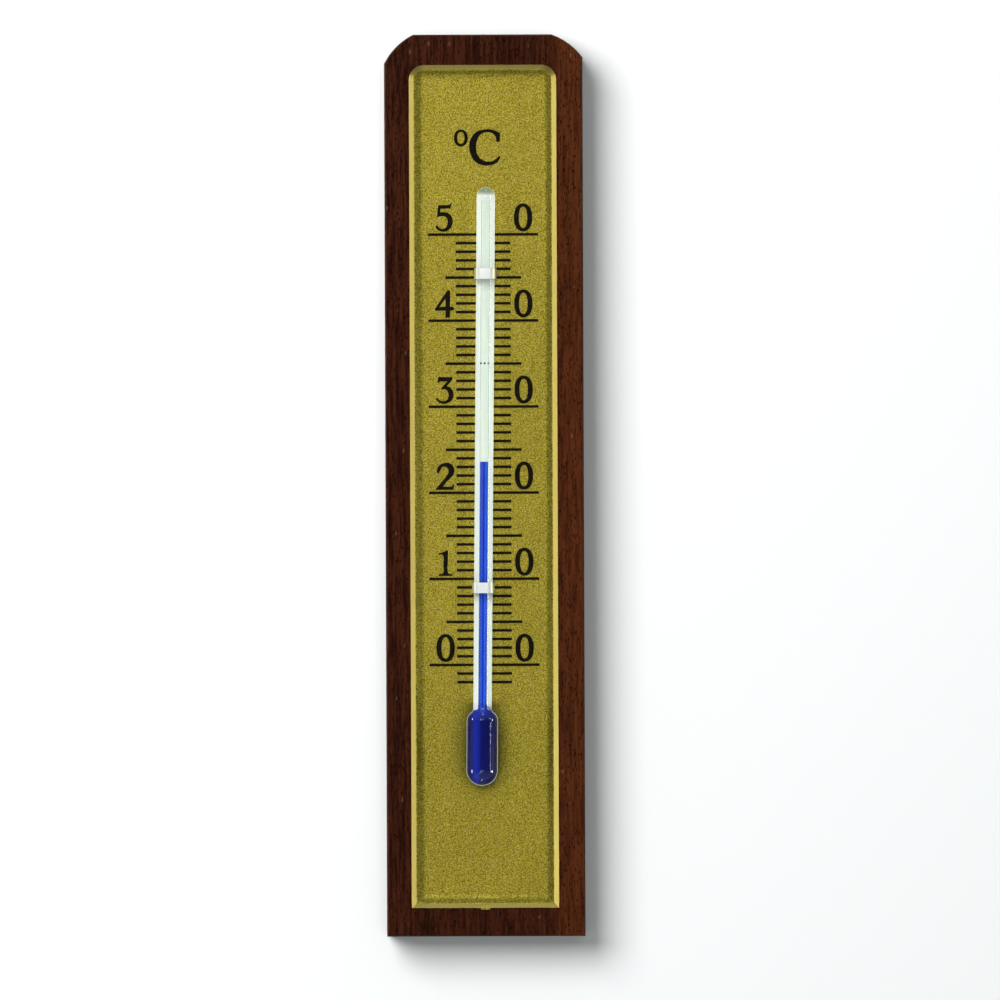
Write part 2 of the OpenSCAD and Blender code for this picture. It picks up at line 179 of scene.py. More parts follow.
class TubeSettings(bpy.types.PropertyGroup):
    """Glass, enamel and spirit"""

    glass: colour("Glass", "Tint of the glass", (0.975, 1.0, 0.985))
    # Painted highlight: a glow along the glass's outline
    outline: colour("Outline", "Light that the glass shows along its outline", (0.50, 0.54, 0.46))
    glass_index: share("Refraction", "Refractive index of the glass", 1.47, 2)
    enamel: colour("Enamel", "Colour of the stripe behind the bore", (0.69, 0.705, 0.65))
    # Painted shade: the enamel's top is darkened to a dark green, where the glass tip looks dark
    painted_tip_shade: colour("Sealed tip", "Colour where the stem was drawn off and sealed", (0.10, 0.15, 0.07))
    enamel_foot: length("Enamel foot", "How far the enamel runs on down into the neck", 1.1 * MM)
    thin_spirit: colour("Thin spirit", "Colour of the spirit where it is thin", (0.004, 0.027, 0.43))
    left_glint: colour("Left glint", "Colour of the pale line along the thread's left side", (0.036, 0.080, 0.42))
    right_glint: colour("Right glint", "Colour of the bright line along the thread's right side", (0.028, 0.098, 0.60))
    deep_spirit: colour("Deep spirit", "Colour of the spirit in the bulb", (0.0030, 0.0048, 0.080))
    bulb_window: colour("Bulb light", "Colour of the lit band in the bulb", (0.006, 0.014, 0.22))
    wetting: length("Wetting", "How far the spirit grows into the glass that it wets", 0.05 * MM)
    rings: IntProperty(name="Rings", description="Rings of the thread, which it stretches between", default=120)
    film: length("Film", "How much thinner the thread is than the spirit that it runs in", 0.006 * MM)


class StageSettings(bpy.types.PropertyGroup):
    """Wall, floor, light and camera"""

    backdrop: colour("Backdrop", "Colour of the wall and the floor", (0.90, 0.905, 0.91))
    corner: colour("Corner", "Colour of the soft shade close beside the board", (0.25, 0.27, 0.27))
    corner_reach: length("Corner reach", "How far the soft shade beside the board reaches", 4.0 * MM)
    wall_gap: length("Wall gap", "Distance of the wall from the board's back", 0.2 * MM)
    wall_glow: share("Wall glow", "What the camera sees added to the wall", 0.11)
    floor_glow: share("Floor glow", "What the camera sees added to the floor", 0.45)
    floor_drop: length("Floor", "Height of the board above the floor", 0.06)
    stage_size: length("Stage size", "Side of the wall and of the floor", 1.2)
    sky: colour("Light", "Colour of the light from all round", (0.90, 1, 0.985))
    level_light: share("Level light", "Strength of the light from all round at the board's height", 0.03, 5)
    high_light: share("High light", "Strength of the broad light from above", 0.28, 5)
    low_light: share("Low light", "Strength of the broad light from below", 0.20, 5)
    side_light: share("Side light", "Strength of the broad light added from both sides", 0.05, 5)
    key_power: share("Key light", "Power of the soft lamp at the upper left, in watts", 17.0, 100)
    fill_power: share("Fill light", "Power of the broad lamp straight in front, in watts", 1.3, 100)
    gloss_power: share("Gloss light", "Power of the two lamps that the plate reflects, in watts", 1.55, 100)
    edge_power: share("Edge light", "Power of the lamps that the bevels reflect, in watts", 5.9, 100)
    strip_power: share("Strip light", "Power of the narrow lamp at the right, in watts", 1.7, 100)
    camera_distance: length("Camera distance", "Distance of the camera from the board's front", 2.0)
    view_width: length("View width", "Width of the picture at the board's front", 0.19956)
    picture_side: IntProperty(name="Picture", description="Side of the picture in pixels", default=1000)
    board_middle: FloatVectorProperty(
        name="Board middle", description="Where the board's middle is in the picture, in pixels", size=2,
        default=(484.7, 485.4),
    )
    roll: FloatProperty(
        name="Roll", description="How far the board leans to the left in the picture", subtype="ANGLE",
        default=math.radians(0.21),
    )


# Outlines of the figures, drawn round the middle of each, in hundredths of the height of a tall figure
OUTLINES = {
    "1": [[
        (-23, 0, SHARP), (23, 0, SHARP), (23, 4, SHARP), (12, 6), (8, 12), (8, 60), (9, 90, SHARP), (5, 90, SHARP),
        (-8, 84), (-24, 79, SHARP), (-22, 76, SHARP), (-12, 78), (-7, 73), (-6, 40), (-6, 13), (-10, 6),
        (-23, 4, SHARP),
    ]],
    "2": [[
        (-33, 1, SHARP), (-32, 0, SHARP), (28, 0, SHARP), (33, 17, SHARP), (30, 18, SHARP), (25, 10), (8, 9),
        (-10, 9, SHARP), (4, 28), (19, 43), (30, 57), (33, 71), (28, 85), (18, 93), (6, 96), (-8, 93), (-20, 86),
        (-27, 75), (-29, 64, SHARP), (-24, 60, SHARP), (-20, 66), (-16, 76), (-9, 83), (0, 84), (9, 80), (14, 69),
        (12, 57), (5, 46), (-4, 35),
    ]],
    "3": [[
        (-22, 95, SHARP), (28, 94, SHARP), (26, 87, SHARP), (5, 61, SHARP), (17, 58), (27, 47), (31, 31), (24, 12),
        (8, 2), (-7, 0), (-20, 5), (-31, 16, SHARP), (-27, 19, SHARP), (-17, 10), (-6, 7), (7, 11), (14, 22),
        (15, 35), (9, 48), (-1, 53), (-11, 52, SHARP), (-10, 56, SHARP), (12, 81, SHARP), (-17, 81, SHARP),
        (-25, 77, SHARP),
    ]],
    "4": [
        [
            (5, 0, SHARP), (18, 0, SHARP), (19, 26, SHARP), (31, 27, SHARP), (34, 32, SHARP), (31, 37, SHARP),
            (19, 37, SHARP), (20, 92, SHARP), (18, 97, SHARP), (12, 97, SHARP), (-34, 30, SHARP), (-31, 26, SHARP),
            (5, 26, SHARP),
        ],
        [(-20, 37, SHARP), (5, 37, SHARP), (5, 73, SHARP)],
    ],
    "5": [[
        (-20, 94, SHARP), (10, 94), (19, 95), (25, 100, SHARP), (25, 95, SHARP), (21, 84, SHARP), (-15, 83, SHARP),
        (-15, 67, SHARP), (-4, 68), (10, 66), (23, 57), (30, 40), (27, 21), (17, 7), (1, 0), (-12, 1), (-22, 6),
        (-29, 14), (-30, 19, SHARP), (-25, 20, SHARP), (-20, 13), (-11, 8), (-3, 7), (7, 13), (13, 25), (14, 38),
        (10, 49), (3, 55), (-7, 56), (-16, 55), (-24, 53, SHARP), (-24, 58, SHARP),
    ]],
    "C": [[
        (22, 127), (55, 115, SHARP), (54, 84, SHARP), (44, 84, SHARP), (38, 107), (15, 119), (-12, 113), (-27, 91),
        (-32, 64), (-25, 33), (-8, 16), (15, 10), (37, 16), (52, 30, SHARP), (56, 27, SHARP), (45, 10), (22, 0),
        (-5, 0), (-33, 12), (-49, 37), (-55, 65), (-49, 94), (-31, 117), (-5, 126),
    ]],
}


def oval(half_width, half_height, middle, fullness=2.2, count=12):
    """An outline round a middle height, a little fuller than an ellipse."""
    points = []
    for k in range(count):
        turn = 2 * math.pi * k / count
        across, up = math.cos(turn), math.sin(turn)
        points.append((
            half_width * math.copysign(abs(across) ** (2 / fullness), across),
            middle + half_height * math.copysign(abs(up) ** (2 / fullness), up),
        ))
    return points


OUTLINES["0"] = [oval(31.8, 49.4, 49.6), oval(16.6, 40.2, 49.6)]
OUTLINES["degree"] = [oval(23.8, 29, 29.5), oval(14.6, 23, 29.5)]

# Where the degree ring stands beside the C: across and up, in the same unit
RING_ACROSS, RING_UP = -86, 68

# The lamps: name, place, width and height, setting that holds the power, part of that power, and glossy or not
LAMPS = (
    ("key", (-31, 23, 1.2), (0.78, 0.78), "key_power", 1, False),
    ("fill", (0, 0, 1.2), (1.6, 1.6), "fill_power", 1, False),
    ("back", (200, 23, 1.2), (0.85, 0.85), "key_power", 1, False),
    ("gloss", (-5, 14, 1.2), (0.5, 0.3), "gloss_power", 1.27, True),
    ("gloss", (-5, -14, 1.2), (0.5, 0.3), "gloss_power", 0.62, True),
    ("edge", (-80, 12, 1.2), (0.15, 0.2), "edge_power", 0.55, True),
    ("edge", (-80, -12, 1.2), (0.15, 0.2), "edge_power", 0.55, True),
    ("edge", (80, 12, 1.2), (0.15, 0.2), "edge_power", 0.6, True),
    ("edge", (80, -12, 1.2), (0.15, 0.2), "edge_power", 0.65, True),
    ("edge", (0, -80, 1.2), (0.15, 0.2), "edge_power", 0.32, True),
    ("edge", (0, 80, 1.2), (0.15, 0.2), "edge_power", 0.15, True),
    ("strip", (63, 0, 1.0), (0.05, 1.0), "strip_power", 1, True),
)


def toned(shade, level):
    """A colour made lighter or darker."""
    return [level * part for part in shade]


class Wiring:
    """Adds nodes to a tree. An input is named or numbered, and gets a value or the output that feeds it."""

    def __init__(self, tree):
        self.tree = tree

    def feed(self, socket, value):
        """Links an output to a socket, or sets the socket's own value."""
        if isinstance(value, bpy.types.NodeSocket):
            self.tree.links.new(value, socket)
        elif socket.type == "RGBA":
            socket.default_value = (*value, 1)
        else:
            socket.default_value = value

    def node(self, kind, inputs=None, **settings):
        """Adds a node with its settings and inputs."""
        made = self.tree.nodes.new(kind)
        for name, value in settings.items():
            setattr(made, name, value)
        for name, value in (inputs or {}).items():
            self.feed(made.inputs[name], value)
        return made

    def out(self, kind, inputs=None, **settings):
        """The first output of a new node."""
        return self.node(kind, inputs, **settings).outputs[0]

    def maths(self, operation, *values):
        """One sum on plain numbers."""
        return self.out("ShaderNodeMath", dict(enumerate(values)), operation=operation)

    def vector(self, operation, first, second):
        """One sum on two vectors."""
        return self.node("ShaderNodeVectorMath", {0: first, 1: second}, operation=operation).outputs

    def mix(self, factor, first, second):
        """Mixes two colours: the first at 0, the second at 1."""
        made = self.node("ShaderNodeMix", data_type="RGBA")
        sockets = {socket.identifier: socket for socket in made.inputs}
        self.feed(sockets["Factor_Float"], factor)
        self.feed(sockets["A_Color"], first)
        self.feed(sockets["B_Color"], second)
        return next(socket for socket in made.outputs if socket.identifier == "Result_Color")

    def overlay(self, base, mask, shade, strength):
        """Lays a colour over a base where a mask is 1, no more than a strength allows."""
        return self.mix(self.maths("MULTIPLY", mask, strength), base, shade)

    def fade(self, value, start, end, low=0.0, high=1.0):
        """Goes smoothly from low at start to high at end."""
        limits = {"Value": value, "From Min": start, "From Max": end, "To Min": low, "To Max": high}
        return self.out("ShaderNodeMapRange", limits, interpolation_type="SMOOTHSTEP")


def grain_group():
    """The grain that every finish uses: a soft tone, and specks in a portion of its cells."""
    name = "fine_grain"
    if name in bpy.data.node_groups:
        return bpy.data.node_groups[name]
    tree = bpy.data.node_groups.new(name, "ShaderNodeTree")
    sockets = tree.interface
    sockets.new_socket("Vector", in_out="INPUT", socket_type="NodeSocketVector")
    sockets.new_socket("Offset", in_out="INPUT", socket_type="NodeSocketVector")
    for title in ("Size", "Stretch", "Portion"):
        sockets.new_socket(title, in_out="INPUT", socket_type="NodeSocketFloat")
    for title in ("Tone", "Specks"):
        sockets.new_socket(title, in_out="OUTPUT", socket_type="NodeSocketFloat")
    wire = Wiring(tree)
    given = wire.node("NodeGroupInput").outputs
    upright = wire.maths("MULTIPLY", given["Size"], given["Stretch"])
    cell = wire.out("ShaderNodeCombineXYZ", {"X": given["Size"], "Y": given["Size"], "Z": upright})
    scaled = wire.vector("DIVIDE", given["Vector"], cell)[0]
    place = wire.vector("ADD", scaled, given["Offset"])[0]
    noise = wire.out("ShaderNodeTexNoise", {"Vector": place, "Scale": 0.7, "Detail": 3.0, "Roughness": 0.6})
    cells = wire.node("ShaderNodeTexVoronoi", {"Vector": place, "Scale": 0.8}).outputs
    chance = wire.out("ShaderNodeSeparateColor", {"Color": cells["Color"]})
    chosen = wire.maths("LESS_THAN", chance, given["Portion"])
    speck = wire.maths("MULTIPLY", chosen, wire.fade(cells["Distance"], 0.5, 0.2))
    wire.node("NodeGroupOutput", {"Tone": wire.fade(noise, 0.3, 0.7), "Specks": speck})
    return tree


class Finish(Wiring):
    """A material: its Principled surface, and the object's own coordinates for the patterns."""

    def __init__(self, name, **plain):
        self.material = bpy.data.materials.new(name)
        self.material.use_nodes = True
        super().__init__(self.material.node_tree)
        self.tree.nodes.clear()
        self.place = self.node("ShaderNodeTexCoord").outputs
        self.surface = self.node("ShaderNodeBsdfPrincipled")
        self.output = self.node("ShaderNodeOutputMaterial", {"Surface": self.surface.outputs[0]})
        for socket, value in plain.items():
            self.set(socket.replace("_", " "), value)

    def set(self, socket, value):
        """Feeds or sets one socket of the surface."""
        self.feed(self.surface.inputs[socket], value)

    def grain(self, size, stretch=1.0, portion=0.0, offset=0.0):
        """The shared grain at one size. Its outputs are Tone and Specks. The offset, in cells, keeps patterns
        that lie over each other from being alike."""
        given = {
            "Vector": self.place["Object"], "Offset": (offset, offset, offset),
            "Size": size, "Stretch": stretch, "Portion": portion,
        }
        return self.node("ShaderNodeGroup", given, node_tree=grain_group()).outputs

    def along(self, direction, start):
        """How far a point lies along a direction from a start point, in metres."""
        offset = self.vector("SUBTRACT", self.place["Object"], start)[0]
        return self.vector("DOT_PRODUCT", offset, direction)["Value"]

    def stripe(self, across, middle, half_width):
        """A soft stripe round a middle, 1 in it and 0 outside."""
        distance = self.maths("ABSOLUTE", self.maths("SUBTRACT", across, middle))
        return self.fade(distance, half_width, 0.2 * half_width)

    def opening(self, reach):
        """1 where the surface lies open, and less where something stands over it within reach."""
        return self.node("ShaderNodeAmbientOcclusion", {"Distance": reach}, samples=8).outputs["AO"]

    def squareness(self):
        """1 where the surface faces straight ahead or straight back, and 0 where it is edge-on."""
        facing = self.node("ShaderNodeSeparateXYZ", {0: self.place["Normal"]}).outputs["Y"]
        return self.maths("ABSOLUTE", facing)

    def bump(self, height, depth):
        """Raises the surface by a height of up to depth metres."""
        self.set("Normal", self.out("ShaderNodeBump", {"Height": height, "Distance": depth}))

    def clear_where(self, mask, tint=(1, 1, 1)):
        """Lets light and sight straight through where a mask is 1, with a tint."""
        clear = self.out("ShaderNodeBsdfTransparent", {"Color": tint})
        both = self.out("ShaderNodeMixShader", {0: mask, 1: self.surface.outputs[0], 2: clear})
        self.feed(self.output.inputs["Surface"], both)


class Tube:
    """The tube's own directions and places, taken from the spirit level's joint and the packed pieces."""

    def __init__(self):
        self.axis = Vector(SPIRIT_LEVEL["axis"]).normalized()
        self.across = Vector((self.axis.z, 0, -self.axis.x)).normalized()
        self.back = self.axis.cross(self.across)
        self.turn = Matrix((self.across, self.back, self.axis)).transposed().to_4x4()
        corners = [vertex.co for vertex in frame["nodes"]["spirit_head"].data.vertices]
        self.bore = sum(corners, Vector()) / len(corners)

    def reach(self, node, direction):
        """The lowest and the highest place of a packed piece along a direction from the bore's middle."""
        places = [(vertex.co - self.bore).dot(direction) for vertex in frame["nodes"][node].data.vertices]
        return min(places), max(places)

    def point(self, distance):
        """A point on the bore's middle line."""
        return self.bore + self.axis * distance


def wear(node, finish):
    """Gives a packed piece its finish."""
    frame["nodes"][node].material_slots[0].material = finish.material


def link(name, mesh):
    """An object at the origin that holds a finished mesh."""
    piece = bpy.data.objects.new(name, mesh)
    bpy.context.scene.collection.objects.link(piece)
    return piece


def close_up(shape):
    """Joins the seams of a shape and turns its faces outwards."""
    bmesh.ops.remove_doubles(shape, verts=shape.verts, dist=SEAM)
    bmesh.ops.recalc_face_normals(shape, faces=shape.faces)


def mesh_of(name, shape):
    """The mesh of a finished shape, which is freed."""
    mesh = bpy.data.meshes.new(name)
    shape.to_mesh(mesh)
    shape.free()
    return mesh


def closed_mesh(name, parts):
    """One mesh of parts, each a mesh and its place, with its seams closed and its faces outwards."""
    solid = bmesh.new()
    for part, place in parts:
        start = len(solid.verts)
        solid.from_mesh(part)
        solid.verts.ensure_lookup_table()
        bmesh.ops.transform(solid, matrix=place, verts=solid.verts[start:])
    close_up(solid)
    return mesh_of(name, solid)


def evaluated_mesh(piece):
    """A plain mesh of a piece with its modifiers and curves worked out. The piece itself is deleted."""
    piece.update_tag()
    state = bpy.context.evaluated_depsgraph_get()
    mesh = bpy.data.meshes.new_from_object(piece.evaluated_get(state))
    bpy.data.objects.remove(piece)
    return mesh


def grow(piece, tree, values):
    """Runs a Geometry Nodes tree on a piece, its inputs set by name."""
    modifier = piece.modifiers.new(tree.name, "NODES")
    modifier.node_group = tree
    sockets = {item.name: item.identifier for item in tree.interface.items_tree if item.in_out == "INPUT"}
    for name, value in values.items():
        modifier[sockets[name]] = value
    return evaluated_mesh(piece)


def geometry_tree(name, inputs):
    """An empty Geometry Nodes tree with its named inputs, and a wiring for it."""
    tree = bpy.data.node_groups.new(name, "GeometryNodeTree")
    tree.interface.new_socket("Geometry", in_out="INPUT", socket_type="NodeSocketGeometry")
    for title, kind in inputs:
        tree.interface.new_socket(title, in_out="INPUT", socket_type=kind)
    tree.interface.new_socket("Geometry", in_out="OUTPUT", socket_type="NodeSocketGeometry")
    return tree, Wiring(tree)


def repeat_tree():
    """Repeats a figure up the scale, once for each pitch."""
    inputs = [("Count", "NodeSocketInt"), ("Pitch", "NodeSocketFloat"), ("Ink", "NodeSocketMaterial")]
    tree, wire = geometry_tree("figures_up_the_scale", inputs)
    given = wire.node("NodeGroupInput").outputs
    step = wire.out("ShaderNodeCombineXYZ", {"Z": given["Pitch"]})
    row = wire.out("GeometryNodeMeshLine", {"Count": given["Count"], "Offset": step}, mode="OFFSET")
    copies = wire.out("GeometryNodeInstanceOnPoints", {"Points": row, "Instance": given["Geometry"]})
    plain = wire.out("GeometryNodeRealizeInstances", {0: copies})
    inked = wire.out("GeometryNodeSetMaterial", {"Geometry": plain, "Material": given["Ink"]})
    wire.node("NodeGroupOutput", {0: inked})
    return tree


def thread_tree():
    """Draws a flat rod with round edges along z, in rings."""
    inputs = [
        ("Length", "NodeSocketFloat"), ("Width", "NodeSocketFloat"), ("Thickness", "NodeSocketFloat"),
        ("Rings", "NodeSocketInt"), ("Spirit", "NodeSocketMaterial"),
    ]
    tree, wire = geometry_tree("spirit_thread", inputs)
    given = wire.node("NodeGroupInput").outputs
    top = wire.out("ShaderNodeCombineXYZ", {"Z": given["Length"]})
    line = wire.out("GeometryNodeCurvePrimitiveLine", {"End": top})
    rings = wire.out("GeometryNodeResampleCurve", {"Curve": line, "Count": given["Rings"]})
    size = {"Width": given["Width"], "Height": given["Thickness"]}
    flat = wire.out("GeometryNodeCurvePrimitiveQuadrilateral", size)
    edge = wire.maths("MULTIPLY", given["Thickness"], 0.49)  # just under half, so that the round edges don't meet
    section = wire.out("GeometryNodeFilletCurve", {"Curve": flat, "Radius": edge, "Count": 8}, mode="POLY")
    rod = wire.out("GeometryNodeCurveToMesh", {"Curve": rings, "Profile Curve": section, "Fill Caps": True})
    plain = wire.out("GeometryNodeRealizeInstances", {0: rod})
    smooth = wire.out("GeometryNodeSetShadeSmooth", {0: plain, "Shade Smooth": True})
    dyed = wire.out("GeometryNodeSetMaterial", {"Geometry": smooth, "Material": given["Spirit"]})
    wire.node("NodeGroupOutput", {0: dyed})
    return tree


def outline_mesh(name, outlines, unit, thickness, spread):
    """A flat solid inside closed outlines that spread a little. It stands up to face -y, with its middle at y = 0."""
    drawing = bpy.data.curves.new(name, "CURVE")
    drawing.dimensions = "2D"
    drawing.fill_mode = "BOTH"
    drawing.extrude = thickness / 2 / unit
    drawing.offset = spread / unit
    drawing.resolution_u = 6
    for outline in outlines:
        spline = drawing.splines.new("BEZIER")
        spline.bezier_points.add(len(outline) - 1)
        spline.use_cyclic_u = True
        for point, (across, up, *sharp) in zip(spline.bezier_points, outline):
            point.co = (across, up, 0)
            point.handle_left_type = point.handle_right_type = "VECTOR" if sharp else "AUTO"
    flat = evaluated_mesh(link(name, drawing))
    flat.transform(Matrix.Rotation(math.radians(90), 4, "X") @ Matrix.Scale(unit, 4))
    return flat


def ink_finish(settings):
    """Matt black print, a little uneven."""
    ink = Finish("black_ink", Specular_IOR_Level=0.02)
    tone = ink.grain(0.35 * MM, offset=2)["Tone"]
    ink.set("Base Color", ink.mix(tone, toned(settings.ink, 0.5), toned(settings.ink, 1.4)))
    ink.set("Roughness", ink.fade(tone, 0, 1, low=0.5, high=0.68))
    ink.bump(tone, 0.004 * MM)
    return ink


def spirit_finish(settings, tube):
    """Dyed spirit: bright in the thread, with a line of light along each side, and deep in the bulb."""
    spirit = Finish("blue_spirit", Roughness=0.2, Specular_IOR_Level=0.1)
    across = spirit.along(tube.across, tube.bore)
    left = spirit.stripe(across, middle=-0.27 * MM, half_width=0.24 * MM)
    thin = spirit.mix(left, settings.thin_spirit, settings.left_glint)
    right = spirit.stripe(across, middle=0.25 * MM, half_width=0.22 * MM)
    thin = spirit.mix(right, thin, settings.right_glint)
    cloud = spirit.grain(0.8 * MM, stretch=6)["Tone"]
    thin = spirit.mix(spirit.fade(cloud, 0, 1, high=0.25), thin, toned(settings.thin_spirit, 0.6))
    window = spirit.stripe(across, middle=-1.1 * MM, half_width=1.0 * MM)
    deep = spirit.mix(window, settings.deep_spirit, settings.bulb_window)
    above_bulb = spirit.along(tube.axis, tube.point(tube.reach("spirit_reservoir", tube.axis)[1]))
    in_neck = spirit.fade(above_bulb, start=-3.2 * MM, end=-0.2 * MM)
    spirit.set("Base Color", spirit.mix(in_neck, deep, thin))
    return spirit


def merged_copy(node):
    """An editable copy of a packed piece's shape, with its triangles joined up and facing out."""
    shape = bmesh.new()
    shape.from_mesh(frame["nodes"][node].data)
    close_up(shape)
    shape.normal_update()
    return shape


def stand_in(name, shape, node, finish):
    """A piece that takes the place of a packed piece. It is smooth apart from its sharp edges."""
    mesh = mesh_of(name, shape)
    mesh.shade_smooth()
    mesh.set_sharp_from_angle(angle=SHARP_EDGE)
    mesh.materials.clear()
    mesh.materials.append(finish.material)
    piece = link(name, mesh)
    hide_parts(node)
    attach(piece, SPIRIT_LEVEL["parent"])
    return piece


def add_enamel_tip(stripe, tube):
    """Rounds the enamel off at the top: a slice of a dome that stays just inside the glass."""
    skin = 0.06 * MM  # glass that is left round the dome
    lap = 0.05 * MM  # how far the dome runs down into the stripe
    left, right = tube.reach("enamel_stripe", tube.across)
    front, back = tube.reach("enamel_stripe", tube.back)
    top = tube.reach("enamel_stripe", tube.axis)[1]
    rise = tube.reach("glass_tube", tube.axis)[1] - top - skin
    half, depth = (right - left) / 2, back - front
    radius = (half ** 2 + depth ** 2) / (2 * depth)
    dome = bmesh.new()
    bmesh.ops.create_uvsphere(dome, u_segments=48, v_segments=24, radius=1)
    bmesh.ops.scale(dome, vec=(radius - skin, radius - skin, rise), verts=dome.verts)
    face = radius - depth + skin / 10
    for point, outward in (((0, face, 0), (0, -1, 0)), ((0, 0, -lap), (0, 0, -1))):
        whole = dome.verts[:] + dome.edges[:] + dome.faces[:]
        cut = bmesh.ops.bisect_plane(dome, geom=whole, plane_co=point, plane_no=outward, clear_outer=True)
        border = [part for part in cut["geom_cut"] if isinstance(part, bmesh.types.BMEdge)]
        bmesh.ops.edgeloop_fill(dome, edges=border)
    bmesh.ops.recalc_face_normals(dome, faces=dome.faces)
    middle = tube.bore + tube.across * (left + right) / 2 + tube.back * (back - radius) + tube.axis * top
    bmesh.ops.transform(dome, matrix=Matrix.Translation(middle) @ tube.turn, verts=dome.verts)

    # The cuts leave their parts in no set order, so they are sorted by place along a slanting line
    line = Vector((1, 0.7, 0.4))
    dome.verts.sort(key=lambda corner: corner.co.dot(line))
    dome.faces.sort(key=lambda face: face.calc_center_median().dot(line))
    stripe.from_mesh(mesh_of("enamel_tip", dome))


class THERMOMETER_OT_board(bpy.types.Operator):
    """Finish the wooden board and the foam tape between board and plate"""

    bl_idname = "thermometer.board"
    bl_label = "Board"

    def execute(self, context):
        settings = context.scene.thermometer_board
        wood = Finish("walnut", Specular_IOR_Level=0.02)
        bands = wood.grain(settings.band_width, settings.band_stretch, offset=3)["Tone"]
        fibres = wood.grain(settings.fibre_width, settings.fibre_stretch)["Tone"]
        pores = wood.grain(settings.pore_width, settings.pore_stretch, portion=0.42, offset=7)["Specks"]
        flecks = wood.grain(settings.fleck_width, stretch=2.5, portion=0.012, offset=11)["Specks"]
        body = wood.mix(bands, settings.dark_wood, settings.wood)
        body = wood.overlay(body, fibres, settings.light_wood, strength=0.52)
        # Painted light from the right: the wood turns lighter and redder towards its right edge
        sideways = wood.node("ShaderNodeSeparateXYZ", {0: wood.place["Object"]}).outputs["X"]
        painted_right_light = wood.fade(sideways, settings.flank_start, settings.flank_end, high=0.62)
        flank = wood.maths("MULTIPLY", painted_right_light, wood.fade(fibres, 0, 1, low=0.5))
        body = wood.mix(flank, body, settings.flank)
        body = wood.overlay(body, pores, settings.pore, strength=0.9)
        body = wood.overlay(body, flecks, settings.fleck, strength=0.4)
        # Painted highlight on the rounded edges, where the faces turn from ahead to the side
        arris_highlight = wood.stripe(wood.squareness(), middle=0.7, half_width=0.28)
        wood.set("Base Color", wood.overlay(body, arris_highlight, settings.arris_highlight, strength=0.35))
        duller, glossier = settings.roughness + 0.08, settings.roughness - 0.06
        wood.set("Roughness", wood.fade(fibres, 0, 1, low=duller, high=glossier))
        ridges = wood.maths("MULTIPLY", fibres, 0.3)
        wood.bump(wood.maths("SUBTRACT", ridges, pores), settings.pore_depth)
        wear("backboard", wood)

        foam = Finish("foam_tape", Specular_IOR_Level=0.2, Roughness=0.85)
        cells = foam.grain(0.3 * MM, portion=0.5, offset=5)
        foam.set("Base Color", foam.mix(cells["Specks"], settings.foam, toned(settings.foam, 0.6)))
        foam.bump(foam.maths("SUBTRACT", cells["Tone"], cells["Specks"]), depth=0.05 * MM)
        wear("adhesive_pads", foam)
        return {"FINISHED"}


class THERMOMETER_OT_plate(bpy.types.Operator):
    """Finish the pressed scale plate in matt gold, with a fine sparkle, painted shade on the rim's inner slopes and a
    painted highlight on its bevel
    """

    bl_idname = "thermometer.plate"
    bl_label = "Scale plate"

    def execute(self, context):
        settings = context.scene.thermometer_plate
        gold = Finish("anodised_gold", Metallic=settings.metal, Specular_IOR_Level=0.2)
        grains = gold.grain(settings.grain, portion=settings.sparkle)
        clouds = gold.grain(settings.cloud, stretch=1.6, offset=4)["Tone"]
        dim, bright = toned(settings.gold, 0.36), toned(settings.gold, 1.62)
        body = gold.mix(grains["Tone"], dim, bright)
        body = gold.overlay(body, clouds, dim, strength=0.12)
        body = gold.overlay(body, grains["Specks"], settings.speck, strength=0.46)

        # The bulb and the rim shade the sheet. The stem doesn't, though it lies close
        tube = Tube()
        beside = gold.maths("ABSOLUTE", gold.along(tube.across, tube.bore))
        over_bulb = gold.along(tube.axis, tube.point(tube.reach("spirit_reservoir", tube.axis)[1]))
        near_stem = gold.fade(beside, start=4.5 * MM, end=3.0 * MM)
        by_stem = gold.maths("MULTIPLY", near_stem, gold.fade(over_bulb, start=0, end=1.5 * MM))
        opening = gold.opening(settings.shade_reach)
        closed_in = gold.fade(opening, start=0.98, end=0.45, high=0.8)
        shaded = gold.maths("MULTIPLY", closed_in, gold.maths("SUBTRACT", 1, by_stem))
        body = gold.mix(shaded, body, settings.shade)

        # The field faces ahead, the rim's inner slope leans by 20 degrees, and the bevel by more than 30. The slope
        # gets painted shade and the bevel a painted highlight
        square = gold.squareness()
        slope = gold.fade(square, start=0.996, end=0.938, high=0.28)
        bevel = gold.fade(square, start=0.85, end=0.74, high=0.85)
        body = gold.mix(slope, body, settings.shade)
        gold.set("Base Color", gold.mix(bevel, body, settings.bevel))
        shinier = settings.roughness - 0.12
        gold.set("Roughness", gold.fade(grains["Specks"], 0, 1, low=settings.roughness, high=shinier))
        gold.bump(gold.maths("ADD", grains["Tone"], grains["Specks"]), depth=0.008 * MM)
        wear("scale_plate", gold)
        return {"FINISHED"}


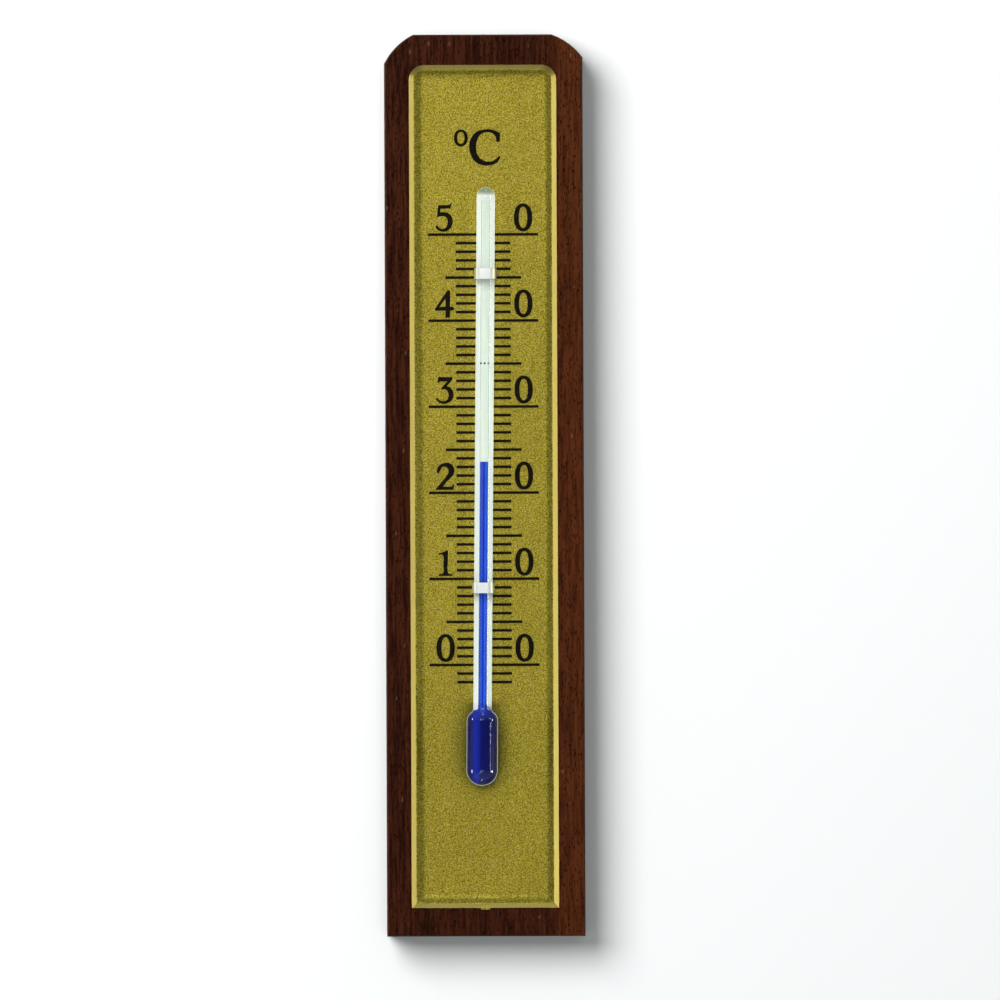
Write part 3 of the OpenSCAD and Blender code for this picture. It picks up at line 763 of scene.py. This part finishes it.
class THERMOMETER_OT_print(bpy.types.Operator):
    """Print the lines, the figures and the degree sign on the plate"""

    bl_idname = "thermometer.print"
    bl_label = "Print"

    def execute(self, context):
        settings = context.scene.thermometer_print
        ink = ink_finish(settings)
        wear("setting_mark", ink)
        low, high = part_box("graduation_lines")
        middle = (low.x + high.x) / 2
        layer = high.y - low.y
        pitch = 10  # degrees from figure to figure
        degree = (high.z - low.z - settings.line_width) / (settings.highest - settings.lowest)
        zero = low.z + settings.line_width / 2 - settings.lowest * degree
        unit = settings.figure_height / 100
        rise = settings.line_width / 2 + settings.figure_rise
        lines = merged_copy("graduation_lines")
        for corner in lines.verts:
            line = zero + round((corner.co.z - zero) / degree) * degree
            corner.co.z += math.copysign(settings.line_spread, corner.co.z - line)
            corner.co.x += math.copysign(settings.line_spread, corner.co.x - middle)
        stand_in("printed_lines", lines, "graduation_lines", ink)

        def at(across, height):
            return Matrix.Translation((middle + across, (low.y + high.y) / 2, height))

        def drawn(figure):
            return outline_mesh(figure, OUTLINES[figure], unit, layer, settings.ink_spread)

        tens = [
            (drawn(figure), at(-settings.left_column, zero + pitch * int(figure) * degree + rise))
            for figure in "12345"
        ]
        tens.append((drawn("0"), at(-settings.left_column, zero + rise)))
        nought = link("nought", closed_mesh("nought", [(drawn("0"), at(settings.right_column, zero + rise))]))
        up_the_scale = {"Count": settings.highest // pitch + 1, "Pitch": pitch * degree, "Ink": ink.material}
        noughts = grow(nought, repeat_tree(), up_the_scale)
        sign_base = zero + settings.highest * degree + settings.sign_rise
        sign = [
            (drawn("C"), at(settings.sign_shift, sign_base)),
            (drawn("degree"), at(settings.sign_shift + RING_ACROSS * unit, sign_base + RING_UP * unit)),
        ]
        left, ring = closed_mesh("figures_left", tens), closed_mesh("degree_sign", sign)
        for name, mesh in (("figures_left", left), ("figures_right", noughts), ("degree_sign", ring)):
            mesh.materials.clear()
            mesh.materials.append(ink.material)
            figures = link(name, mesh)
            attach(figures, "root")
        return {"FINISHED"}


class THERMOMETER_OT_tube(bpy.types.Operator):
    """Finish the glass tube and the enamel in it"""

    bl_idname = "thermometer.tube"
    bl_label = "Tube"

    def execute(self, context):
        settings = context.scene.thermometer_tube
        glass = Finish("clear_glass", Transmission_Weight=1.0, IOR=settings.glass_index)
        glass.set("Base Color", settings.glass)
        draw_lines = glass.grain(0.8 * MM, stretch=90, offset=6)["Tone"]
        glass.set("Roughness", glass.fade(draw_lines, 0, 1, high=0.03))
        glass.bump(draw_lines, depth=0.003 * MM)
        rays = glass.node("ShaderNodeLightPath").outputs
        # The outline glows: a painted highlight along the glass's edges, which only the camera sees
        turned_away = glass.node("ShaderNodeLayerWeight", {"Blend": 0.5}).outputs["Facing"]
        edge = glass.stripe(turned_away, middle=0.86, half_width=0.16)
        seen = glass.maths("MULTIPLY", edge, rays["Is Camera Ray"])
        glass.set("Emission Color", glass.mix(seen, (0, 0, 0), settings.outline))
        glass.set("Emission Strength", 1.0)
        glass.clear_where(rays["Is Shadow Ray"], settings.glass)
        wear("glass_tube", glass)

        tube = Tube()
        enamel = Finish("white_enamel", Specular_IOR_Level=0.1)
        streaks = enamel.grain(0.4 * MM, stretch=120, offset=1)["Tone"]
        foot, top = tube.reach("enamel_stripe", tube.axis)
        # Painted shade: the enamel darkens towards its rounded top, under the glass tip
        above_stripe = enamel.along(tube.axis, tube.point(top))
        sealed = enamel.fade(above_stripe, start=0, end=0.6 * MM, high=0.85)
        body = enamel.mix(streaks, toned(settings.enamel, 0.9), settings.enamel)
        enamel.set("Base Color", enamel.mix(sealed, body, settings.painted_tip_shade))
        enamel.set("Roughness", enamel.fade(streaks, 0, 1, low=0.42, high=0.3))
        enamel.bump(streaks, depth=0.01 * MM)

        stripe = merged_copy("enamel_stripe")
        for corner in stripe.verts:
            if (corner.co - tube.bore).dot(tube.axis) < foot + 0.1 * MM:
                corner.co -= tube.axis * settings.enamel_foot
        add_enamel_tip(stripe, tube)
        fused = stand_in("fused_enamel", stripe, "enamel_stripe", enamel)
        fused.data.shade_flat()  # its faces are flat, and smooth ones would shade in wedges
        fused.visible_shadow = False
        return {"FINISHED"}


class THERMOMETER_OT_spirit(bpy.types.Operator):
    """Fill the bulb and the bore with dyed spirit, as a thread in rings"""

    bl_idname = "thermometer.spirit"
    bl_label = "Spirit"

    def execute(self, context):
        settings = context.scene.thermometer_tube
        tube = Tube()
        spirit = spirit_finish(settings, tube)
        wear("spirit_head", spirit)
        bulb = merged_copy("spirit_reservoir")
        for corner in bulb.verts:
            corner.co += corner.normal * settings.wetting
        stand_in("spirit_bulb", bulb, "spirit_reservoir", spirit)

        head_foot, head_top = tube.reach("spirit_head", tube.axis)
        bulb_top = tube.reach("spirit_reservoir", tube.axis)[1]
        foot = bulb_top - 9 * MM  # well down in the bulb
        top = head_top - 0.05 * MM  # just inside the head
        left, right = tube.reach("spirit_column", tube.across)
        front, back = tube.reach("spirit_column", tube.back)
        shape = {
            "Length": top - foot,
            "Width": right - left - settings.film,
            "Thickness": back - front - settings.film,
            "Rings": settings.rings,
            "Spirit": spirit.material,
        }
        seed = link("seed", bpy.data.meshes.new("seed"))
        rod = grow(seed, thread_tree(), shape)
        mesh = closed_mesh("spirit_thread", [(rod, Matrix.Translation(tube.point(foot)) @ tube.turn)])
        mesh.materials.append(spirit.material)
        thread = link("spirit_thread", mesh)
        thread.visible_shadow = frame["nodes"]["spirit_head"].visible_shadow = False
        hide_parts("spirit_column")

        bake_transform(thread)
        return {"FINISHED"}


class THERMOMETER_OT_clips(bpy.types.Operator):
    """Finish the two bright clips that hold the tube, with a painted reflection of the gold plate on their bends"""

    bl_idname = "thermometer.clips"
    bl_label = "Clips"

    def execute(self, context):
        settings = context.scene.thermometer_plate
        steel = Finish("bright_steel", Metallic=0.6)
        lines = steel.grain(0.05 * MM, stretch=0.1, offset=9)["Tone"]
        # Painted reflection of the gold plate on the clips' slanting bends
        bend = steel.stripe(steel.squareness(), middle=0.6, half_width=0.38)
        brushed = steel.mix(lines, toned(settings.steel, 0.85), settings.steel)
        steel.set("Base Color", steel.mix(bend, brushed, settings.bend_gold_reflection))
        steel.set("Roughness", steel.fade(lines, 0, 1, low=0.36, high=0.46))
        steel.bump(lines, depth=0.002 * MM)
        for clip in ("upper_clip", "lower_clip"):
            wear(clip, steel)
        return {"FINISHED"}


def lamp(name, place, size, power, middle, glossy):
    """An area lamp that faces the board from a place: degrees to the right, degrees up, and metres away.
    A glossy lamp shows only in reflections, and the others only light what is matt."""
    light = bpy.data.lights.new(name, "AREA")
    light.shape = "RECTANGLE"
    light.size, light.size_y = size
    light.energy = power
    turn, rise, distance = math.radians(place[0]), math.radians(place[1]), place[2]
    out = Vector((math.sin(turn) * math.cos(rise), -math.cos(turn) * math.cos(rise), math.sin(rise)))
    holder = link(name, light)
    holder.location = middle + out * distance
    holder.rotation_mode = "QUATERNION"
    holder.rotation_quaternion = out.to_track_quat("Z", "Y")
    holder.visible_camera = False
    holder.visible_transmission = False
    holder.visible_glossy = glossy
    holder.visible_diffuse = not glossy


def backdrop_finish(name, settings, glow):
    """Pale, with a soft shade close beside the board. It is clear from behind and to the light of lamps, and a glow
    that only the eye sees takes it near white."""
    pale = Finish(name, Roughness=1.0, Specular_IOR_Level=0.0)
    shaded = pale.fade(pale.opening(settings.corner_reach), start=0.95, end=0.45, high=0.22)
    pale.set("Base Color", pale.mix(shaded, settings.backdrop, settings.corner))
    pale.set("Emission Color", (1, 1, 1))
    rays = pale.node("ShaderNodeLightPath").outputs
    seen = pale.maths("MAXIMUM", rays["Is Camera Ray"], rays["Is Transmission Ray"])
    pale.set("Emission Strength", pale.maths("MULTIPLY", seen, glow))
    behind = pale.node("ShaderNodeNewGeometry").outputs["Backfacing"]
    pale.clear_where(pale.maths("MAXIMUM", behind, rays["Is Shadow Ray"]))
    return pale


def set_world(settings):
    """White to the eye, also through the glass. Its light is broad from above and below, and dim at the board's
    height."""
    world = bpy.data.worlds.new("studio")
    bpy.context.scene.world = world
    world.use_nodes = True
    world.node_tree.nodes.clear()
    wire = Wiring(world.node_tree)
    direction = wire.node("ShaderNodeTexCoord").outputs["Generated"]
    part = wire.node("ShaderNodeSeparateXYZ", {0: direction}).outputs
    shallow, steep = 0.1, 0.5  # how far up or down the broad light starts and is full
    above = wire.fade(part["Z"], shallow, steep, low=settings.level_light, high=settings.high_light)
    below = wire.fade(part["Z"], -shallow, -steep, high=settings.low_light - settings.level_light)
    sideways = wire.maths("ABSOLUTE", part["X"])
    beside = wire.fade(sideways, start=0.55, end=0.85, high=settings.side_light)
    level = wire.maths("ADD", wire.maths("ADD", above, below), beside)
    rays = wire.node("ShaderNodeLightPath").outputs
    through_glass = rays["Is Transmission Ray"]
    ahead = wire.fade(part["Y"], start=-0.6, end=-0.2)
    onward = wire.maths("MULTIPLY", through_glass, ahead)
    first = wire.maths("LESS_THAN", rays["Diffuse Depth"], 0.5)
    seen = wire.maths("MAXIMUM", rays["Is Camera Ray"], wire.maths("MULTIPLY", onward, first))
    lit = wire.maths("MULTIPLY", level, wire.maths("SUBTRACT", 1.0, through_glass))
    light = wire.out("ShaderNodeBackground", {"Color": settings.sky, "Strength": lit})
    white = wire.out("ShaderNodeBackground", {"Color": (1, 1, 1), "Strength": 1.0})
    both = wire.out("ShaderNodeMixShader", {0: seen, 1: light, 2: white})
    wire.node("ShaderNodeOutputWorld", {"Surface": both})


def set_camera(settings, middle, front):
    """A distant camera that sees the board where the picture shows it."""
    data = bpy.data.cameras.new("camera")
    data.lens = data.sensor_width * settings.camera_distance / settings.view_width
    camera = link("camera", data)
    turn = Matrix.Rotation(settings.roll, 4, "Y")
    right, up = turn @ Vector((1, 0, 0)), turn @ Vector((0, 0, 1))
    pixel = settings.view_width / settings.picture_side
    centre = settings.picture_side / 2
    across, down = settings.board_middle
    aim = middle + right * (centre - across) * pixel - up * (centre - down) * pixel
    place = Vector((aim.x, front - settings.camera_distance, aim.z))
    camera.matrix_world = Matrix.Translation(place) @ turn @ Matrix.Rotation(math.radians(90), 4, "X")
    bpy.context.scene.camera = camera


class THERMOMETER_OT_stage(bpy.types.Operator):
    """Set the wall, the floor, the light and the camera"""

    bl_idname = "thermometer.stage"
    bl_label = "Stage"

    def execute(self, context):
        settings = context.scene.thermometer_stage
        low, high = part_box("backboard")
        middle = (low + high) / 2
        wall = high.y + settings.wall_gap
        floor = low.z - settings.floor_drop
        reach = settings.stage_size / 2
        square = ((-reach, -reach), (reach, -reach), (reach, reach), (-reach, reach))
        for name, glow, corners in (
            ("wall", settings.wall_glow, [(x, wall, max(z, floor)) for x, z in square]),
            ("floor", settings.floor_glow, [(x, y, floor) for x, y in square]),
        ):
            sheet = bpy.data.meshes.new(name)
            sheet.from_pydata(corners, [], [(0, 1, 2, 3)])
            sheet.materials.append(backdrop_finish("pale_" + name, settings, glow).material)
            plane = link(name, sheet)
            plane.visible_glossy = False
            plane.visible_diffuse = name == "wall"
        set_world(settings)
        for name, place, size, setting, part, glossy in LAMPS:
            lamp(name, place, size, part * getattr(settings, setting), middle, glossy)
        set_camera(settings, middle, low.y)
        context.scene.view_settings.view_transform = "Standard"
        return {"FINISHED"}


STEPS = ("board", "plate", "print", "tube", "spirit", "clips", "stage")
SETTINGS = {
    "thermometer_board": BoardSettings,
    "thermometer_plate": PlateSettings,
    "thermometer_print": PrintSettings,
    "thermometer_tube": TubeSettings,
    "thermometer_stage": StageSettings,
}


class THERMOMETER_PT_sidebar(bpy.types.Panel):
    """The steps that dress the thermometer, and their sizes and colours"""

    bl_idname = "THERMOMETER_PT_sidebar"
    bl_label = "Thermometer"
    bl_space_type = "VIEW_3D"
    bl_region_type = "UI"
    bl_category = "Thermometer"

    def draw(self, context):
        for step in STEPS:
            self.layout.operator("thermometer." + step)
        for name, group in SETTINGS.items():
            box = self.layout.box()
            box.label(text=group.__doc__)
            for setting in group.__annotations__:
                box.prop(getattr(context.scene, name), setting)


CLASSES = (
    *SETTINGS.values(),
    THERMOMETER_OT_board,
    THERMOMETER_OT_plate,
    THERMOMETER_OT_print,
    THERMOMETER_OT_tube,
    THERMOMETER_OT_spirit,
    THERMOMETER_OT_clips,
    THERMOMETER_OT_stage,
    THERMOMETER_PT_sidebar,
)


def register():
    for entry in CLASSES:
        bpy.utils.register_class(entry)
    for name, group in SETTINGS.items():
        setattr(bpy.types.Scene, name, PointerProperty(type=group))


def unregister():
    for name in SETTINGS:
        delattr(bpy.types.Scene, name)
    for entry in reversed(CLASSES):
        bpy.utils.unregister_class(entry)


def main():
    register()
    for step in STEPS:
        getattr(bpy.ops.thermometer, step)()


if __name__ == "__main__":
    main()
